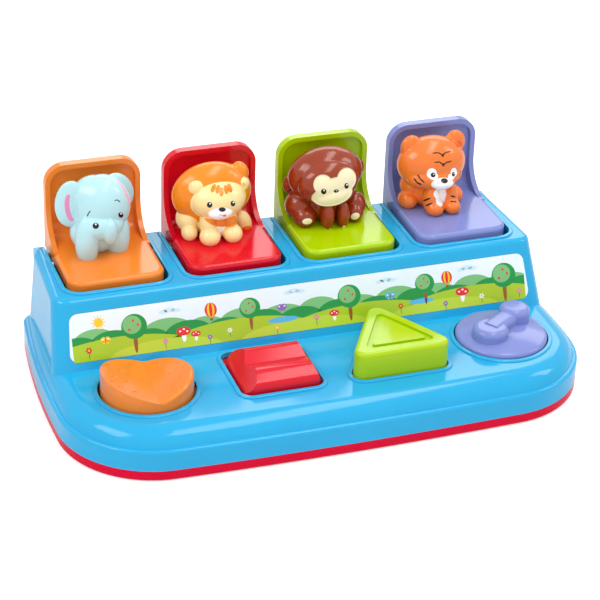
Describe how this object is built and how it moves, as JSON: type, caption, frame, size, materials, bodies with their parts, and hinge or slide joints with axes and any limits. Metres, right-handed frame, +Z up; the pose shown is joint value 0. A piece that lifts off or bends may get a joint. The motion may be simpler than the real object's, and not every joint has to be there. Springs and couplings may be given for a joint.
{
  "type": "pop up animal toy",
  "caption": "Toddler pop up toy: sprung flaps with animal figures stand open in a tiered case, each let go by its own rocker, slider, push button or dial.",
  "frame": {"origin": "on the table, under the middle of the case's plan", "axes": "+X to the viewer's right along the row of flaps, +Y from the controls to the flaps, +Z up"},
  "size_m": [0.309, 0.1684, 0.1153],
  "materials": {
    "case_blue": "glossy sky-blue moulded plastic",
    "tray_red": "glossy red moulded plastic",
    "print_gloss": null,
    "orange_gloss": "glossy orange moulded plastic",
    "red_gloss": "glossy red moulded plastic",
    "green_gloss": "glossy lime-green moulded plastic",
    "purple_gloss": "glossy lilac moulded plastic",
    "elephant_paint": "glossy painted plastic, pale aqua with painted eyes",
    "lion_paint": "glossy painted plastic, orange mane and cream face",
    "monkey_paint": "glossy painted plastic, red-brown with a cream face",
    "tiger_paint": "glossy painted plastic, orange with painted stripes",
    "inner_white": "natural white moulded plastic",
    "spring_steel": "spring steel",
    "pin_steel": "bright steel"
  },
  "bodies": {
    "case": {"housing_top": "case_blue", "base_tray": "tray_red", "scene_sticker": "print_gloss", "case_screws": "pin_steel", "rocker_pin": "pin_steel", "lever_screw": "pin_steel", "rocker_springs": "spring_steel", "slide_spring": "spring_steel", "push_spring": "spring_steel", "push_bar_spring": "spring_steel", "dial_spring": "spring_steel", "hinge_pin_elephant": "pin_steel", "torsion_spring_elephant": "spring_steel", "catch_elephant": "spring_steel", "hinge_pin_lion": "pin_steel", "torsion_spring_lion": "spring_steel", "catch_lion": "spring_steel", "hinge_pin_monkey": "pin_steel", "torsion_spring_monkey": "spring_steel", "catch_monkey": "spring_steel", "hinge_pin_tiger": "pin_steel", "torsion_spring_tiger": "spring_steel", "catch_tiger": "spring_steel"},
    "lid_elephant": {"flap_elephant": "orange_gloss", "figure_elephant": "elephant_paint", "figure_screws_elephant": "pin_steel"},
    "lid_lion": {"flap_lion": "red_gloss", "figure_lion": "lion_paint", "figure_screws_lion": "pin_steel"},
    "lid_monkey": {"flap_monkey": "green_gloss", "figure_monkey": "monkey_paint", "figure_screws_monkey": "pin_steel"},
    "lid_tiger": {"flap_tiger": "purple_gloss", "figure_tiger": "tiger_paint", "figure_screws_tiger": "pin_steel"},
    "rocker": {"rocker_button": "orange_gloss"},
    "lever": {"rocker_lever": "inner_white"},
    "slider": {"slide_button": "red_gloss", "slide_bar": "inner_white"},
    "pusher": {"push_button": "green_gloss"},
    "pusher_bar": {"push_bar": "inner_white"},
    "dial": {"turn_dial": "purple_gloss", "dial_crank": "inner_white", "dial_screw": "pin_steel"},
    "dial_slider": {"dial_bar": "inner_white"}
  },
  "joints": [
    {"name": "open_elephant", "type": "hinge", "parent": "case", "child": "lid_elephant", "pos_m": [-0.105, 0.07665, 0.05935], "axis": [1, 0, 0], "range_deg": [0, 90], "stiffness_Nm_per_rad": 0.025, "springref_deg": -45.84, "deforming": ["torsion_spring_elephant", "catch_elephant"]},
    {"name": "open_lion", "type": "hinge", "parent": "case", "child": "lid_lion", "pos_m": [-0.035, 0.07665, 0.05935], "axis": [1, 0, 0], "range_deg": [0, 90], "stiffness_Nm_per_rad": 0.025, "springref_deg": -45.84, "deforming": ["torsion_spring_lion", "catch_lion"]},
    {"name": "open_monkey", "type": "hinge", "parent": "case", "child": "lid_monkey", "pos_m": [0.035, 0.07665, 0.05935], "axis": [1, 0, 0], "range_deg": [0, 90], "stiffness_Nm_per_rad": 0.025, "springref_deg": -45.84, "deforming": ["torsion_spring_monkey", "catch_monkey"]},
    {"name": "open_tiger", "type": "hinge", "parent": "case", "child": "lid_tiger", "pos_m": [0.105, 0.07665, 0.05935], "axis": [1, 0, 0], "range_deg": [0, 90], "stiffness_Nm_per_rad": 0.025, "springref_deg": -45.84, "deforming": ["torsion_spring_tiger", "catch_tiger"]},
    {"name": "rocker_tilt", "type": "hinge", "parent": "case", "child": "rocker", "pos_m": [-0.10375, -0.0321, 0.02], "axis": [0, 1, 0], "range_deg": [-6, 6], "stiffness_Nm_per_rad": 0.3, "deforming": ["rocker_springs"]},
    {"name": "lever_swing", "type": "hinge", "parent": "case", "child": "lever", "pos_m": [-0.10375, 0, 0.0037], "axis": [0, 0, 1], "range_deg": [-3, 3]},
    {"name": "slide_travel", "type": "slide", "parent": "case", "child": "slider", "axis": [0, 1, 0], "range_m": [0, 0.006], "stiffness_N_per_m": 80, "springref_m": -0.004, "deforming": ["slide_spring"]},
    {"name": "push_travel", "type": "slide", "parent": "case", "child": "pusher", "axis": [0, 0, -1], "range_m": [0, 0.005], "stiffness_N_per_m": 150, "springref_m": -0.006, "deforming": ["push_spring", "push_bar_spring"]},
    {"name": "push_bar_travel", "type": "slide", "parent": "case", "child": "pusher_bar", "axis": [0, 1, 0], "range_m": [0, 0.00505]},
    {"name": "dial_turn", "type": "hinge", "parent": "case", "child": "dial", "pos_m": [0.10775, -0.0321, 0.02], "axis": [0, 0, -1], "range_deg": [0, 40], "stiffness_Nm_per_rad": 0.03, "springref_deg": -17.19, "deforming": ["dial_spring"]},
    {"name": "dial_bar_travel", "type": "slide", "parent": "case", "child": "dial_slider", "axis": [0, 1, 0], "range_m": [0, 0.00505]}
  ],
  "couplings": [
    {"joint": "lever_swing", "follows": "rocker_tilt", "ratio": -0.49},
    {"joint": "push_bar_travel", "follows": "push_travel", "ratio": 1},
    {"joint": "dial_bar_travel", "follows": "dial_turn", "m_per_rad": 0.00716}
  ]
}
